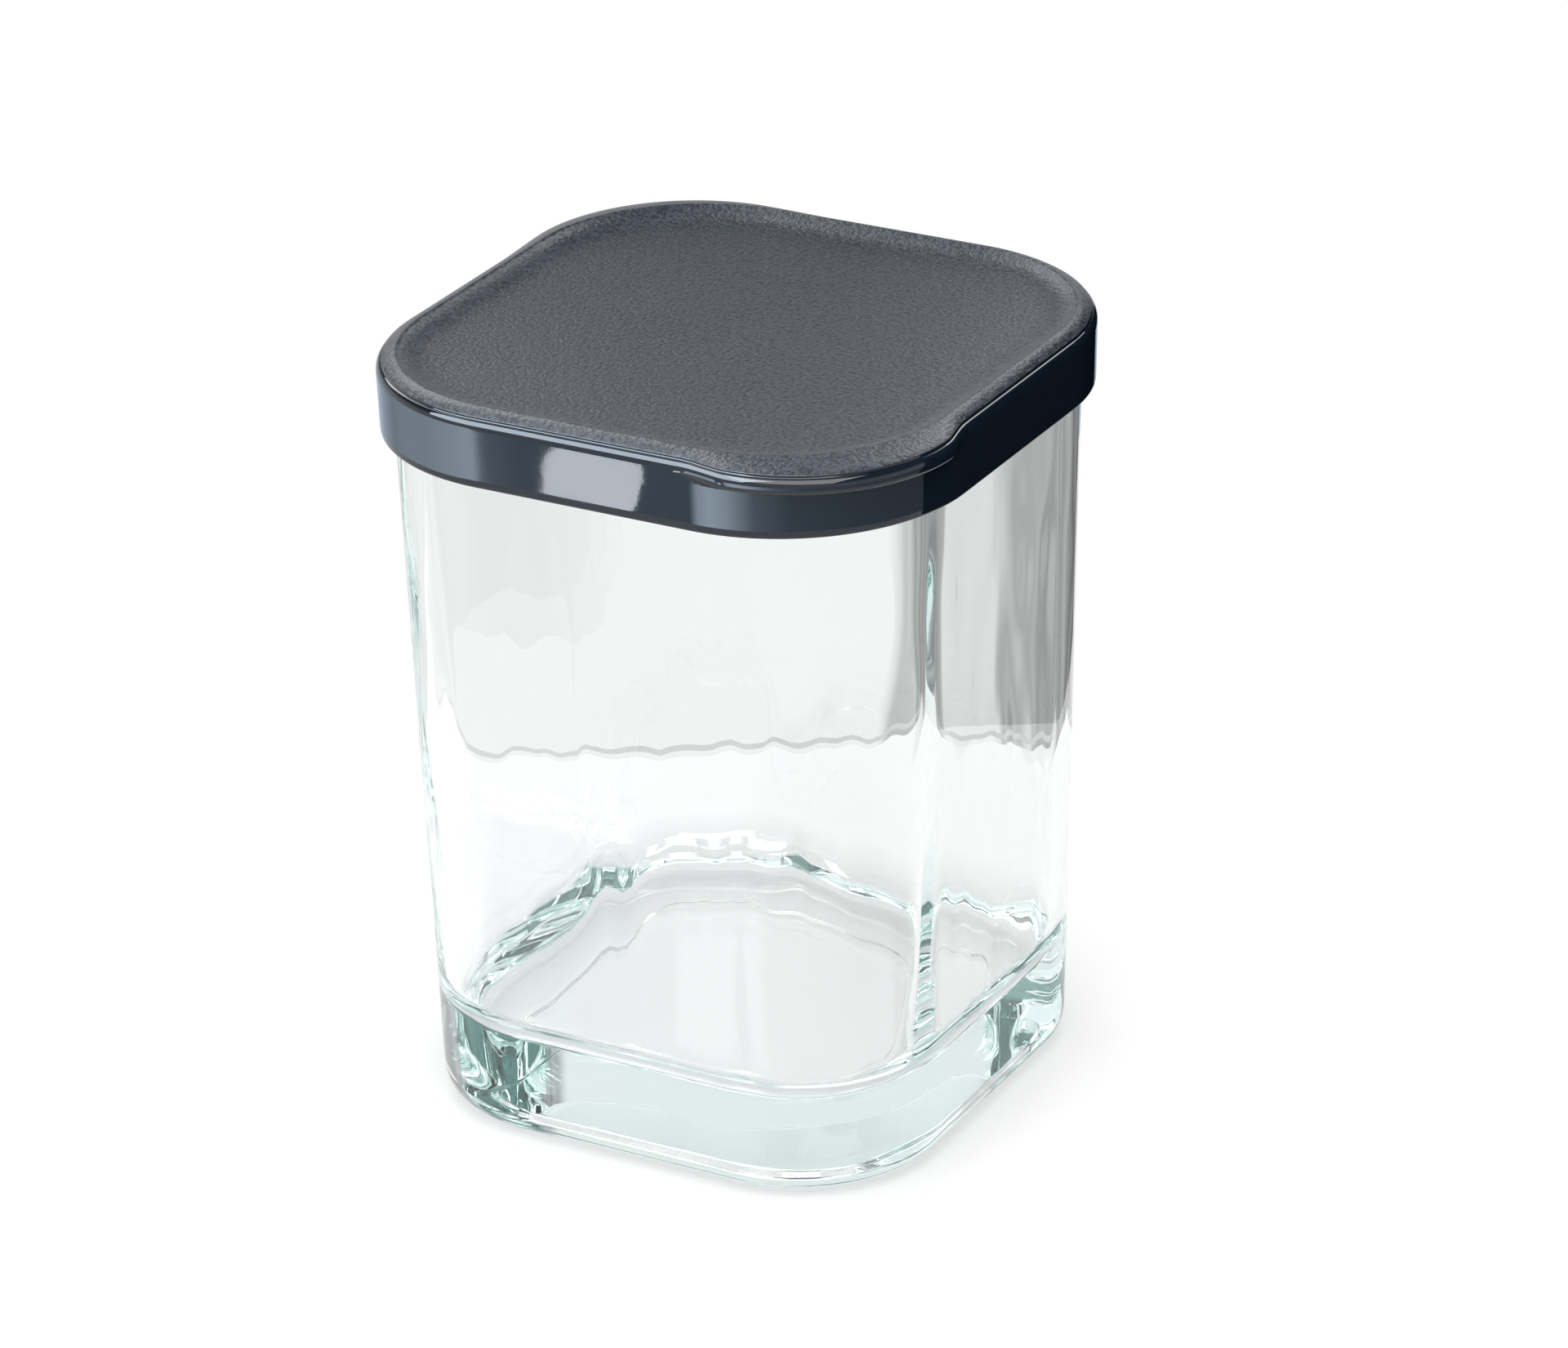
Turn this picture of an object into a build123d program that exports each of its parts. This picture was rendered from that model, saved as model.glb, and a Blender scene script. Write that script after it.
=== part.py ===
from build123d import *
import os

# Lidded glass canister: a square jar of thick pressed glass under a push-on plastic lid.
# Frame: +Z up, origin at the centre of the jar's foot. The lid's two finger lips lie on the
# diagonal that runs from the (+X, -Y) corner to the (-X, +Y) corner. Millimetres throughout.

# ---- driving dimensions ----------------------------------------------------------------
total_height = 129.0          # foot to the crest of the lid
lid_side = 100.0              # flat to flat over the lid's skirt
lid_corner_radius = 31.0      # plan radius of the skirt's corners
lid_height = 12.6             # crest to the skirt's lower edge
skirt_wall = 1.9
skirt_draft = 1.5             # degrees, the skirt narrows downwards
lid_edge_radius = 1.0         # rolled edge between the top and the skirt
border_width = 3.3            # skirt face to the crest of the raised border
border_drop = 0.9             # crest to the outer edge of the border
dish_margin = 10.0            # skirt face to the dish floor
dish_depth = 1.6
top_plate = 1.7               # thickness under the dish floor

lip_reach = 1.3               # how far a finger lip stands out at its ends
lip_corner_radius = 26.0      # smaller than the lid's, so a lip stands out most at 45 degrees
lip_blend = 6.0               # length of the run-out where a lip fades into the straight side
lip_thickness = 3.2
lip_edge_radius = 1.0

jar_top_side = 95.0           # outside of the glass at the rim
jar_corner_radius = 28.0      # outside plan radius at the rim
jar_draft = 1.65              # degrees, the outside narrows towards the foot
rim_wall = 4.7                # glass thickness at the rim
corner_extra = 1.6            # how much smaller the cavity's corner radius is than an even wall gives
cavity_draft = 1.95           # degrees, the inside narrows faster, so the wall thickens downwards
floor_thickness = 15.0        # solid glass under the cavity
cavity_floor_radius = 7.0     # fillet around the cavity's floor
heel_radius = 5.0             # fillet around the foot
rim_edge_radius = 1.4
foot_ring_width = 9.0         # flat ring the jar stands on
foot_recess = 0.6             # how far the middle of the foot is raised

seal_flange = 1.4             # seal thickness between the rim and the lid
plug_gap = 2.5                # plug wall to glass
plug_wall = 1.8
plug_depth = 11.5             # lid ceiling to the plug's lower edge
plug_bead = 1.5               # how far the bead that holds the seal stands out
plug_bead_height = 1.6
seal_clearance = 0.3          # seal lips to glass
seal_fit = 0.05               # slack between the seal and the plug it is stretched over
seal_sleeve = 1.1             # thickness of the sleeve between the seal's lips
seal_lip_height = 1.4

# ---- derived levels and half widths ------------------------------------------------------
dish_floor_z = total_height - dish_depth
border_z = total_height - border_drop
ceiling_z = dish_floor_z - top_plate
rim_z = ceiling_z - seal_flange
skirt_foot_z = total_height - lid_height
lid_half = lid_side / 2
jar_half = jar_top_side / 2
mouth_half = jar_half - rim_wall
mouth_radius = jar_corner_radius - rim_wall - corner_extra
plug_half = mouth_half - plug_gap
plug_radius = mouth_radius - plug_gap
plug_foot_z = ceiling_z - plug_depth
bead_top_z = plug_foot_z + plug_bead_height


def rounded(half, radius, z):
    """Rounded square of the given half width and corner radius at height z."""
    return Plane.XY.offset(z) * RectangleRounded(2 * half, 2 * half, radius)


def block(half, radius, z_low, z_high):
    """Straight rounded-square block between two heights."""
    return extrude(rounded(half, radius, z_low), amount=z_high - z_low)


def tapered_down(half, radius, z_high, z_low, draft):
    """Block that is widest at its top and narrows downwards by the draft angle."""
    face = Plane(origin=(0, 0, z_high), z_dir=(0, 0, -1)) * RectangleRounded(2 * half, 2 * half, radius)
    return extrude(face, amount=z_high - z_low, taper=draft)


def edges_at(solid, z, slack=0.01):
    """All edges that lie level at height z."""
    level = solid.edges().filter_by(lambda e: abs(e.bounding_box().size.Z) < slack)
    return level.filter_by(lambda e: abs(e.center().Z - z) < slack)


def glass_jar():
    """Thick pressed jar: drafted outside, faster drafted cavity, heavy base, rounded rim."""
    outside = tapered_down(jar_half, jar_corner_radius, rim_z, 0, jar_draft)
    outside = fillet(edges_at(outside, 0), heel_radius)
    cavity = tapered_down(mouth_half, mouth_radius, rim_z, floor_thickness, cavity_draft)
    cavity = fillet(edges_at(cavity, floor_thickness), cavity_floor_radius)
    jar = outside - cavity
    jar = fillet(edges_at(jar, rim_z), rim_edge_radius)
    foot = jar.faces().sort_by(Axis.Z)[0].bounding_box().size.X / 2
    recess_half = foot - foot_ring_width
    recess = block(recess_half, recess_half * jar_corner_radius / jar_half, 0, foot_recess)
    return jar - recess


def finger_lip():
    """Lip around the (+X, -Y) corner that a fingertip lifts the lid by."""
    out = lid_half + lip_reach
    full = out - lip_corner_radius
    start = full - lip_blend
    inside = lid_half - lid_corner_radius / 2
    along = Spline((start, -lid_half), (full, -out), tangents=[(1, 0), (1, 0)])
    corner = RadiusArc((full, -out), (out, -full), -lip_corner_radius)
    up = Spline((out, -full), (lid_half, -start), tangents=[(0, 1), (0, 1)])
    back = Polyline((lid_half, -start), (inside, -start), (start, -inside), (start, -lid_half))
    plan = make_face([along, corner, up, back])
    lip = extrude(Plane.XY.offset(border_z - lip_thickness) * plan, amount=lip_thickness)
    return fillet(lip.edges().filter_by(GeomType.CIRCLE), lip_edge_radius)


def lid_cover():
    """One moulding: dished top with a raised border, polished skirt, two finger lips."""
    cover = tapered_down(lid_half, lid_corner_radius, border_z, skirt_foot_z, skirt_draft)
    cover = fillet(edges_at(cover, border_z), lid_edge_radius)
    lip = finger_lip()
    cover = cover + lip + lip.rotate(Axis.Z, 180)
    edge = rounded(lid_half - lid_edge_radius, lid_corner_radius - lid_edge_radius, border_z)
    crest = rounded(lid_half - border_width, lid_corner_radius - border_width, total_height)
    cover = cover + loft([edge.face(), crest.face()], ruled=True)
    inner_half = lid_half - skirt_wall
    inner_radius = lid_corner_radius - skirt_wall
    cover = cover - tapered_down(inner_half, inner_radius, ceiling_z, skirt_foot_z, skirt_draft)
    floor_half = lid_half - dish_margin
    floor_radius = lid_corner_radius - dish_margin
    floor = rounded(floor_half, floor_radius, dish_floor_z)
    return cover - loft([floor.face(), crest.face()], ruled=True)


def lid_plug():
    """Inner tray that enters the jar's mouth and carries the seal."""
    tray = block(plug_half, plug_radius, plug_foot_z, ceiling_z)
    tray = tray + block(plug_half + plug_bead, plug_radius + plug_bead, plug_foot_z, bead_top_z)
    tray = fillet(edges_at(tray, plug_foot_z), plug_wall / 3)
    inner_half = plug_half - plug_wall
    inner_radius = plug_radius - plug_wall
    return tray - block(inner_half, inner_radius, plug_foot_z, ceiling_z - plug_wall)


def seal_lip(z_low):
    """One flexible lip of the seal, pointed outwards towards the glass."""
    reach = plug_gap - seal_clearance
    thick = block(plug_half + seal_sleeve, plug_radius + seal_sleeve, z_low, z_low + seal_lip_height)
    lip = block(plug_half + reach, plug_radius + reach, z_low, z_low + seal_lip_height)
    lip = fillet(lip.edges().filter_by(Plane.XY), seal_lip_height * 0.4)
    return lip + thick


def seal_ring():
    """Silicone seal: a flange on the rim, a sleeve over the plug and two lips to the glass."""
    flange_half = jar_half - rim_edge_radius / 2
    flange_radius = jar_corner_radius - rim_edge_radius / 2
    sleeve_low = bead_top_z + seal_fit
    seal = block(flange_half, flange_radius, rim_z, ceiling_z)
    seal = seal + block(plug_half + seal_sleeve, plug_radius + seal_sleeve, sleeve_low, ceiling_z)
    sleeve_length = rim_z - sleeve_low
    for step in (0.15, 0.55):
        seal = seal + seal_lip(sleeve_low + step * sleeve_length)
    bore_half = plug_half + seal_fit
    bore_radius = plug_radius + seal_fit
    return seal - block(bore_half, bore_radius, sleeve_low, ceiling_z)


os.makedirs("parts", exist_ok=True)
export_step(glass_jar(), "parts/glass_jar.step")
export_step(lid_cover(), "parts/lid_cover.step")
export_step(lid_plug(), "parts/lid_plug.step")
export_step(seal_ring(), "parts/seal_ring.step")
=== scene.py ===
"""Builds the looks of a lidded canister: a square jar of pressed glass under a dark push-on lid.

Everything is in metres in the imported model's frame: +Z up, the jar's foot on Z = 0, and the lid's
two finger lips on the corners between +X and -Y and between -X and +Y.
"""

import logging
import math
from collections.abc import Callable, Iterator, Sequence
from dataclasses import dataclass, field
from enum import Enum

import bmesh
import bpy
import numpy as np
from bpy.types import ID, Material, Mesh, Node, NodeSocket, NodeTree, Object
from mathutils import Matrix, Vector, noise


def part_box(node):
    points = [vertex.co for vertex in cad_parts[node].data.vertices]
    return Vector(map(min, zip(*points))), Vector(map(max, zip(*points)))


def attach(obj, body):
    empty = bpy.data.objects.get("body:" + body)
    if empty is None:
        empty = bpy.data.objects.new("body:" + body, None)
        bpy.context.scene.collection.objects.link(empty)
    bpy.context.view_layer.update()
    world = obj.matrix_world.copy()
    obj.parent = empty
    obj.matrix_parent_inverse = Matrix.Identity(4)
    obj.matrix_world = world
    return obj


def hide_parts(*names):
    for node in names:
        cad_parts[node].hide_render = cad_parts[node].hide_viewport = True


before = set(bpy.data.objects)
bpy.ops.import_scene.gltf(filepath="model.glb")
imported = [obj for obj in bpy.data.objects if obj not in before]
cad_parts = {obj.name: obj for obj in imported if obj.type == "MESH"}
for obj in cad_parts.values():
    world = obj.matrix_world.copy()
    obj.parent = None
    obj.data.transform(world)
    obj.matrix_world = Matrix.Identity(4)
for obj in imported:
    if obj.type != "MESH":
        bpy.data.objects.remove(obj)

Triple = tuple[float, float, float]
LOG = logging.getLogger("canister")
MM = 0.001

# Points of every ring along a round corner and along a straight side.
ARC_POINTS = 44
SIDE_POINTS = 26

# Widest step round a corner of a cross-section, in degrees, and how close to its ends a straight
# run is held, which keeps its shading flat.
ARC_STEP = 6.0
HOLD = 0.12 * MM

# Sizes of the rings that close a level face, from its edge to the middle.
INWARDS = (0.9, 0.7, 0.45, 0.2, 0.05)

WHITE = (1.0, 1.0, 1.0)


class Ends(Enum):
    """How a lofted skin is closed."""

    CAPPED = "capped"
    LOOPED = "looped"


class Finish(Enum):
    """Material slots of the lid's moulding, in their order on the mesh."""

    GRAINED = 0
    POLISHED = 1
    SATIN = 2


# ---- outlines, sections and skins ----


@dataclass(frozen=True)
class RoundedSquare:
    """Plan outline of a square with round corners.

    Attributes:
        half: Half of the side.
        radius: Radius of the corners.
    """

    half: float
    radius: float

    def inside(self, inset: float) -> "RoundedSquare":
        """The same outline moved inwards by inset, or outwards if inset is negative."""
        return RoundedSquare(self.half - inset, max(self.radius - inset, 0.2 * MM))

    def ring(self, inset: float, height: float) -> np.ndarray:
        """Rows of X, Y, Z of the outline moved inwards by inset, at one height."""
        return level(self.inside(inset).outline()[0], height)

    def outline(self) -> tuple[np.ndarray, np.ndarray]:
        """Walks once round the outline.

        Returns:
            The points and their outward normals, as two arrays of X, Y rows.
        """
        points, normals = [], []
        reach = self.half - self.radius
        for quarter in range(4):
            start = quarter * math.pi / 2
            middle = start + math.pi / 4
            centre = np.array([math.copysign(reach, math.cos(middle)),
                               math.copysign(reach, math.sin(middle))])
            for step in range(ARC_POINTS + 1):
                angle = start + step / ARC_POINTS * math.pi / 2
                normal = np.array([math.cos(angle), math.sin(angle)])
                points.append(centre + self.radius * normal)
                normals.append(normal)
            along = np.array([-normals[-1][1], normals[-1][0]])
            begin = points[-1]
            for step in range(1, SIDE_POINTS + 1):
                points.append(begin + along * (2 * reach * step / (SIDE_POINTS + 1)))
                normals.append(normals[-1])
        return np.array(points), np.array(normals)

    def gap(self, points: np.ndarray) -> np.ndarray:
        """Signed distance from rows of X, Y to the outline, negative inside."""
        beyond = np.maximum(np.abs(points) - (self.half - self.radius), 0.0)
        return np.hypot(beyond[:, 0], beyond[:, 1]) - self.radius


@dataclass(frozen=True)
class Turn:
    """A corner of a cross-section.

    Attributes:
        inset: Distance inwards from the piece's nominal outline.
        height: Height above the foot.
        radius: Rounding of the corner in the section.
    """

    inset: float
    height: float
    radius: float = 0.0


def section(turns: Sequence[Turn], pitch: float) -> list[tuple[float, float]]:
    """Rounds off a cross-section and divides its straight runs.

    Args:
        turns: The corners in order. The first and the last aren't rounded.
        pitch: Longest step along a straight run.

    Returns:
        Points of inset and height.
    """
    corners = [np.array([t.inset, t.height]) for t in turns]
    stretches = [[corners[0]]]
    for before, here, after, turn in zip(corners, corners[1:], corners[2:], turns[1:]):
        into = (here - before) / np.linalg.norm(here - before)
        out = (after - here) / np.linalg.norm(after - here)
        bend = math.acos(float(np.clip(into @ out, -1, 1)))
        if turn.radius <= 0 or bend < 1e-4:
            stretches.append([here])
            continue
        back = turn.radius * math.tan(bend / 2)
        start, side = here - into * back, np.array([-into[1], into[0]])
        side = side if side @ out > 0 else -side
        steps = max(4, math.ceil(math.degrees(bend) / ARC_STEP))
        angles = [bend * step / steps for step in range(steps + 1)]
        stretches.append([
            start + turn.radius * (into * math.sin(a) + side * (1 - math.cos(a))) for a in angles
        ])
    stretches.append([corners[-1]])
    points = list(stretches[0])
    for stretch in stretches[1:]:
        run = stretch[0] - points[-1]
        length = float(np.linalg.norm(run))
        holds = [HOLD / length, 1 - HOLD / length] if length > 0.5 * MM else []
        count = math.ceil(length / pitch)
        evenly = [step / count for step in range(1, count)]
        last = points[-1]
        points += [last + run * share for share in sorted(holds + evenly)]
        points += stretch if length > 1e-9 else stretch[1:]
    return [(float(p[0]), float(p[1])) for p in points]


def level(plan: np.ndarray, height: float) -> np.ndarray:
    """Rows of X, Y, Z for plan points at one height."""
    return np.column_stack([plan, np.full(len(plan), height)])


def towards_centre(ring: np.ndarray, shares: Sequence[float]) -> list[np.ndarray]:
    """Copies of a level ring, shrunk by each share towards the centre line."""
    return [ring * np.array([share, share, 1.0]) for share in shares]


def skin(name: str, rings: Sequence[np.ndarray], ends: Ends,
         finish_of: Callable[[int], int] = lambda band: 0) -> Object:
    """Lofts a closed, smooth-shaded mesh through rings of equal length.

    Args:
        name: Name of the piece.
        rings: Rings of X, Y, Z rows, in order along the surface.
        ends: Whether the first and last ring are capped or joined to each other.
        finish_of: Gives the material index of the band after each ring.

    Returns:
        The new object, linked to the scene.
    """
    mesh = bmesh.new()
    loops = [[mesh.verts.new(point) for point in ring] for ring in rings]
    following = loops[1:] + ([loops[0]] if ends is Ends.LOOPED else [])
    for band, (near, far) in enumerate(zip(loops, following)):
        for here in range(len(near)):
            there = (here + 1) % len(near)
            face = mesh.faces.new((near[here], near[there], far[there], far[here]))
            face.material_index = finish_of(band)
    if ends is Ends.CAPPED:
        for loop, band in ((loops[0], 0), (loops[-1], len(loops) - 1)):
            middle = mesh.verts.new(sum((v.co for v in loop), Vector()) / len(loop))
            for here in range(len(loop)):
                face = mesh.faces.new((loop[here], loop[(here + 1) % len(loop)], middle))
                face.material_index = finish_of(band)
    bmesh.ops.recalc_face_normals(mesh, faces=mesh.faces)
    data = bpy.data.meshes.new(name)
    mesh.to_mesh(data)
    mesh.free()
    data.shade_smooth()
    return in_scene(name, data)


def in_scene(name: str, data: ID) -> Object:
    """Puts a mesh, a light or a camera into the scene as a new object."""
    thing = bpy.data.objects.new(name, data)
    bpy.context.scene.collection.objects.link(thing)
    return thing


def ramp(value: np.ndarray | float, low: float, high: float) -> np.ndarray | float:
    """Smooth step from 0 at low to 1 at high."""
    share = np.clip((value - low) / (high - low), 0.0, 1.0)
    return share * share * (3 - 2 * share)


# ---- shader nodes ----


class Wiring:
    """Adds nodes to one node tree and joins them."""

    def __init__(self, tree: NodeTree) -> None:
        """Starts on an empty tree."""
        self.tree = tree
        self.tree.nodes.clear()

    def add(self, kind: str, *, settings: dict[str, object] | None = None,
            **values: object) -> Node:
        """Adds a node.

        Args:
            kind: The node's type, without its ShaderNode prefix.
            settings: Attributes of the node itself.
            **values: Plain values or outputs for its inputs, named as set() takes them.

        Returns:
            The node.
        """
        prefix = "NodeGroup" if kind in ("Input", "Output") else "ShaderNode"
        node = self.tree.nodes.new(prefix + kind)
        for key, value in (settings or {}).items():
            setattr(node, key, value)
        self.set(node, **values)
        return node

    def set(self, node: Node, **values: object) -> None:
        """Feeds several inputs, given by name with underscores for spaces."""
        for key, value in values.items():
            self.feed(node, key.replace("_", " "), value)

    def feed(self, node: Node, socket: str | int, value: object) -> None:
        """Sets an input to a plain value, or joins an output to it."""
        if isinstance(value, NodeSocket):
            self.tree.links.new(value, node.inputs[socket])
        else:
            node.inputs[socket].default_value = value

    def show(self, shader: Node, output: str = "OutputMaterial") -> Node:
        """Joins a shader to a new output node, and returns that."""
        return self.add(output, Surface=shader.outputs[0])

    def maths(self, operation: str, first: object, second: object = 0.0) -> NodeSocket:
        """Adds a Math node.

        Args:
            operation: Its operation.
            first: A number or an output.
            second: A number or an output.

        Returns:
            Its result.
        """
        node = self.add("Math", settings={"operation": operation})
        self.feed(node, 0, first)
        self.feed(node, 1, second)
        return node.outputs[0]

    def span(self, value: NodeSocket, low: float, high: float, to_low: float = 0.0,
             to_high: float = 1.0) -> NodeSocket:
        """Maps one range of values smoothly onto another."""
        node = self.add("MapRange", settings={"interpolation_type": "SMOOTHSTEP"}, Value=value,
                        From_Min=low, From_Max=high, To_Min=to_low, To_Max=to_high)
        return node.outputs[0]

    def blend(self, share: NodeSocket, first: object, second: object) -> NodeSocket:
        """Mixes two colours.

        Args:
            share: How much of the second there is.
            first: Red, green and blue, or an output.
            second: The same.

        Returns:
            The mixed colour.
        """
        node = self.add("Mix", settings={"data_type": "RGBA"}, Factor=share)
        for socket, colour in ((6, first), (7, second)):
            self.feed(node, socket, (*colour, 1.0) if isinstance(colour, tuple) else colour)
        return node.outputs[2]


class Effects:
    """Node groups that several finishes share, each built once."""

    def __init__(self) -> None:
        """Builds the groups."""
        self.grain = self._grain()
        self.handling = self._handling()
        self.ripple = self._ripple()

    @staticmethod
    def _group(name: str, inputs: dict[str, float], outputs: Sequence[str]) -> tuple[
            NodeTree, Wiring, Node, Node]:
        """Makes an empty group with float sockets and a Vector input.

        Args:
            name: The group's name.
            inputs: Default value by input name.
            outputs: Output names.

        Returns:
            The group, its wiring and its input and output nodes.
        """
        tree = bpy.data.node_groups.new(name, "ShaderNodeTree")
        tree.interface.new_socket("Vector", in_out="INPUT", socket_type="NodeSocketVector")
        for key, value in inputs.items():
            socket = tree.interface.new_socket(key, in_out="INPUT", socket_type="NodeSocketFloat")
            socket.default_value = value
        for key in outputs:
            tree.interface.new_socket(key, in_out="OUTPUT", socket_type="NodeSocketFloat")
        wiring = Wiring(tree)
        return tree, wiring, wiring.add("Input"), wiring.add("Output")

    def _grain(self) -> NodeTree:
        """Fine spark-eroded grain of a moulding tool: rounded pits over a finer tooth."""
        tree, w, given, result = self._group(
            "tool_grain", {"Scale": 3000.0, "Tooth": 0.4}, ("Height", "Speckle"))
        where, scale = given.outputs["Vector"], given.outputs["Scale"]
        pits = w.add("TexNoise", Vector=where, Scale=scale, Detail=2.0, Roughness=0.5)
        finer = w.maths("MULTIPLY", scale, 2.7)
        tooth = w.add("TexNoise", Vector=where, Scale=finer, Detail=1.0)
        shaped = w.span(pits.outputs["Fac"], 0.3, 0.7)
        toothed = w.maths("MULTIPLY", tooth.outputs["Fac"], given.outputs["Tooth"])
        w.feed(result, "Height", w.maths("ADD", shaped, toothed))
        w.feed(result, "Speckle", shaped)
        return tree

    def _handling(self) -> NodeTree:
        """Faint cloudy wiping marks with a few specks of dust."""
        tree, w, given, result = self._group(
            "handling_marks", {"Scale": 40.0, "Dust": 0.5}, ("Marks", "Specks"))
        where, scale = given.outputs["Vector"], given.outputs["Scale"]
        wiped = w.add("TexNoise", Vector=where, Scale=scale, Detail=5.0, Roughness=0.62,
                      Distortion=0.8)
        fine = w.maths("MULTIPLY", scale, 22.0)
        dots = w.add("TexVoronoi", Vector=where, Scale=fine, Randomness=1.0)
        near = w.span(dots.outputs["Distance"], 0.0, 0.10, 1.0, 0.0)
        sparse = w.span(wiped.outputs["Fac"], 0.56, 0.62)
        specks = w.maths("MULTIPLY", near, sparse)
        w.feed(result, "Marks", w.span(wiped.outputs["Fac"], 0.35, 0.7))
        w.feed(result, "Specks", w.maths("MULTIPLY", specks, given.outputs["Dust"]))
        return tree

    def _ripple(self) -> NodeTree:
        """Slow waviness that a polished or pressed surface keeps from its tool."""
        tree, w, given, result = self._group("tool_ripple", {"Scale": 60.0, "Upright": 0.3},
                                             ("Height",))
        split = w.add("SeparateXYZ", Vector=given.outputs["Vector"])
        stretched = w.maths("MULTIPLY", split.outputs["Z"], given.outputs["Upright"])
        where = w.add("CombineXYZ", X=split.outputs["X"], Y=split.outputs["Y"], Z=stretched)
        slow = w.add("TexNoise", Vector=where.outputs[0], Scale=given.outputs["Scale"], Detail=1.5,
                     Roughness=0.4)
        w.feed(result, "Height", slow.outputs["Fac"])
        return tree


def new_material(name: str) -> tuple[Material, Wiring, Node, Node]:
    """Makes a material with one Principled shader.

    Args:
        name: The material's name.

    Returns:
        The material, its wiring, its Principled node and its output node.
    """
    material = bpy.data.materials.new(name)
    material.use_nodes = True
    wiring = Wiring(material.node_tree)
    shader = wiring.add("BsdfPrincipled")
    return material, wiring, shader, wiring.show(shader)


def place(w: Wiring, group: NodeTree, **values: object) -> Node:
    """Places a shared effect in a material, on the piece's own coordinates."""
    where = w.add("TexCoord").outputs["Object"]
    return w.add("Group", settings={"node_tree": group}, Vector=where, **values)


@dataclass(frozen=True)
class MouldedPlastic:
    """A moulded plastic surface, from grained matt to polished.

    Attributes:
        name: Name of the material.
        colour: Base colour.
        speckle: Lighter colour on the grain's high spots.
        roughness: Roughness of the clean surface.
        smeared: How much rougher wiping marks make it.
        grain_scale: Grains to the metre.
        grain_depth: Height of the grain.
        ripple_depth: Height of the slow waviness.
        ripple_scale: Waves to the metre, roughly.
        specular: Specular level.
    """

    name: str
    colour: Triple
    speckle: Triple
    roughness: float
    smeared: float
    grain_scale: float
    grain_depth: float
    ripple_depth: float
    ripple_scale: float = 70.0
    specular: float = 0.5

    def build(self, effects: Effects) -> Material:
        """Builds the material.

        Args:
            effects: The shared node groups.

        Returns:
            The material.
        """
        material, w, shader, _ = new_material(self.name)
        grain = place(w, effects.grain, Scale=self.grain_scale)
        marks = place(w, effects.handling, Scale=32.0, Dust=0.6)
        ripple = place(w, effects.ripple, Scale=self.ripple_scale, Upright=0.6)
        tint = w.blend(grain.outputs["Speckle"], self.colour, self.speckle)
        dust = (0.5, 0.5, 0.5)
        rough = w.maths("MULTIPLY_ADD", marks.outputs["Marks"], self.smeared)
        w.feed(rough.node, 2, self.roughness)
        slow = w.add("Bump", Height=ripple.outputs["Height"], Strength=1.0,
                     Distance=self.ripple_depth)
        fine = w.add("Bump", Height=grain.outputs["Height"], Strength=1.0,
                     Distance=self.grain_depth, Normal=slow.outputs[0])
        w.set(shader, Base_Color=w.blend(marks.outputs["Specks"], tint, dust), Roughness=rough,
              Specular_IOR_Level=self.specular, Normal=fine.outputs[0])
        return material


GRAINED_TOP = MouldedPlastic(
    "grained_lid_top", colour=(0.006, 0.009, 0.015), speckle=(0.034, 0.041, 0.053),
    roughness=0.34, smeared=0.05, grain_scale=1500.0, grain_depth=0.045 * MM, ripple_depth=0.0)
POLISHED_SKIRT = MouldedPlastic(
    "polished_skirt", colour=(0.0035, 0.0065, 0.0115), speckle=(0.005, 0.0085, 0.014),
    roughness=0.02, smeared=0.03, grain_scale=1500.0, grain_depth=0.0002 * MM,
    ripple_depth=0.004 * MM, ripple_scale=260.0)
SATIN_INSIDE = MouldedPlastic(
    "satin_lid_inside", colour=(0.030, 0.036, 0.045), speckle=(0.036, 0.042, 0.050),
    roughness=0.34, smeared=0.08, grain_scale=1800.0, grain_depth=0.006 * MM,
    ripple_depth=0.02 * MM)
SILICONE = MouldedPlastic(
    "translucent_silicone", colour=(0.66, 0.69, 0.69), speckle=(0.70, 0.72, 0.72),
    roughness=0.42, smeared=0.10, grain_scale=1400.0, grain_depth=0.005 * MM,
    ripple_depth=0.02 * MM, specular=0.4)


@dataclass(frozen=True)
class PressedGlass:
    """Clear soda-lime glass with a faint green body colour.

    Attributes:
        name: Name of the material.
        absorbed: Colour that a long way through the glass tends to.
        density: How fast it gets there, per metre.
        refraction: Refractive index.
        smeared: How rough wiping marks make it.
        ripple_depth: Height of the fire-polished waviness.
    """

    name: str = "pressed_glass"
    absorbed: Triple = (0.30, 0.80, 0.72)
    density: float = 2.5
    refraction: float = 1.52
    smeared: float = 0.012
    ripple_depth: float = 0.03 * MM

    def build(self, effects: Effects) -> Material:
        """Builds the material.

        Args:
            effects: The shared node groups.

        Returns:
            The material.
        """
        material, w, shader, output = new_material(self.name)
        marks = place(w, effects.handling, Scale=30.0, Dust=0.0)
        rough = w.maths("MULTIPLY", marks.outputs["Marks"], self.smeared)
        ripple = place(w, effects.ripple, Scale=110.0, Upright=0.25)
        bump = w.add("Bump", Height=ripple.outputs["Height"], Strength=1.0,
                     Distance=self.ripple_depth)
        w.set(shader, Base_Color=(*WHITE, 1.0), IOR=self.refraction, Transmission_Weight=1.0,
              Roughness=rough, Normal=bump.outputs[0])
        inside = w.add("VolumeAbsorption", Color=(*self.absorbed, 1.0), Density=self.density)
        w.feed(output, "Volume", inside.outputs[0])
        return material


# ---- the jar ----


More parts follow.
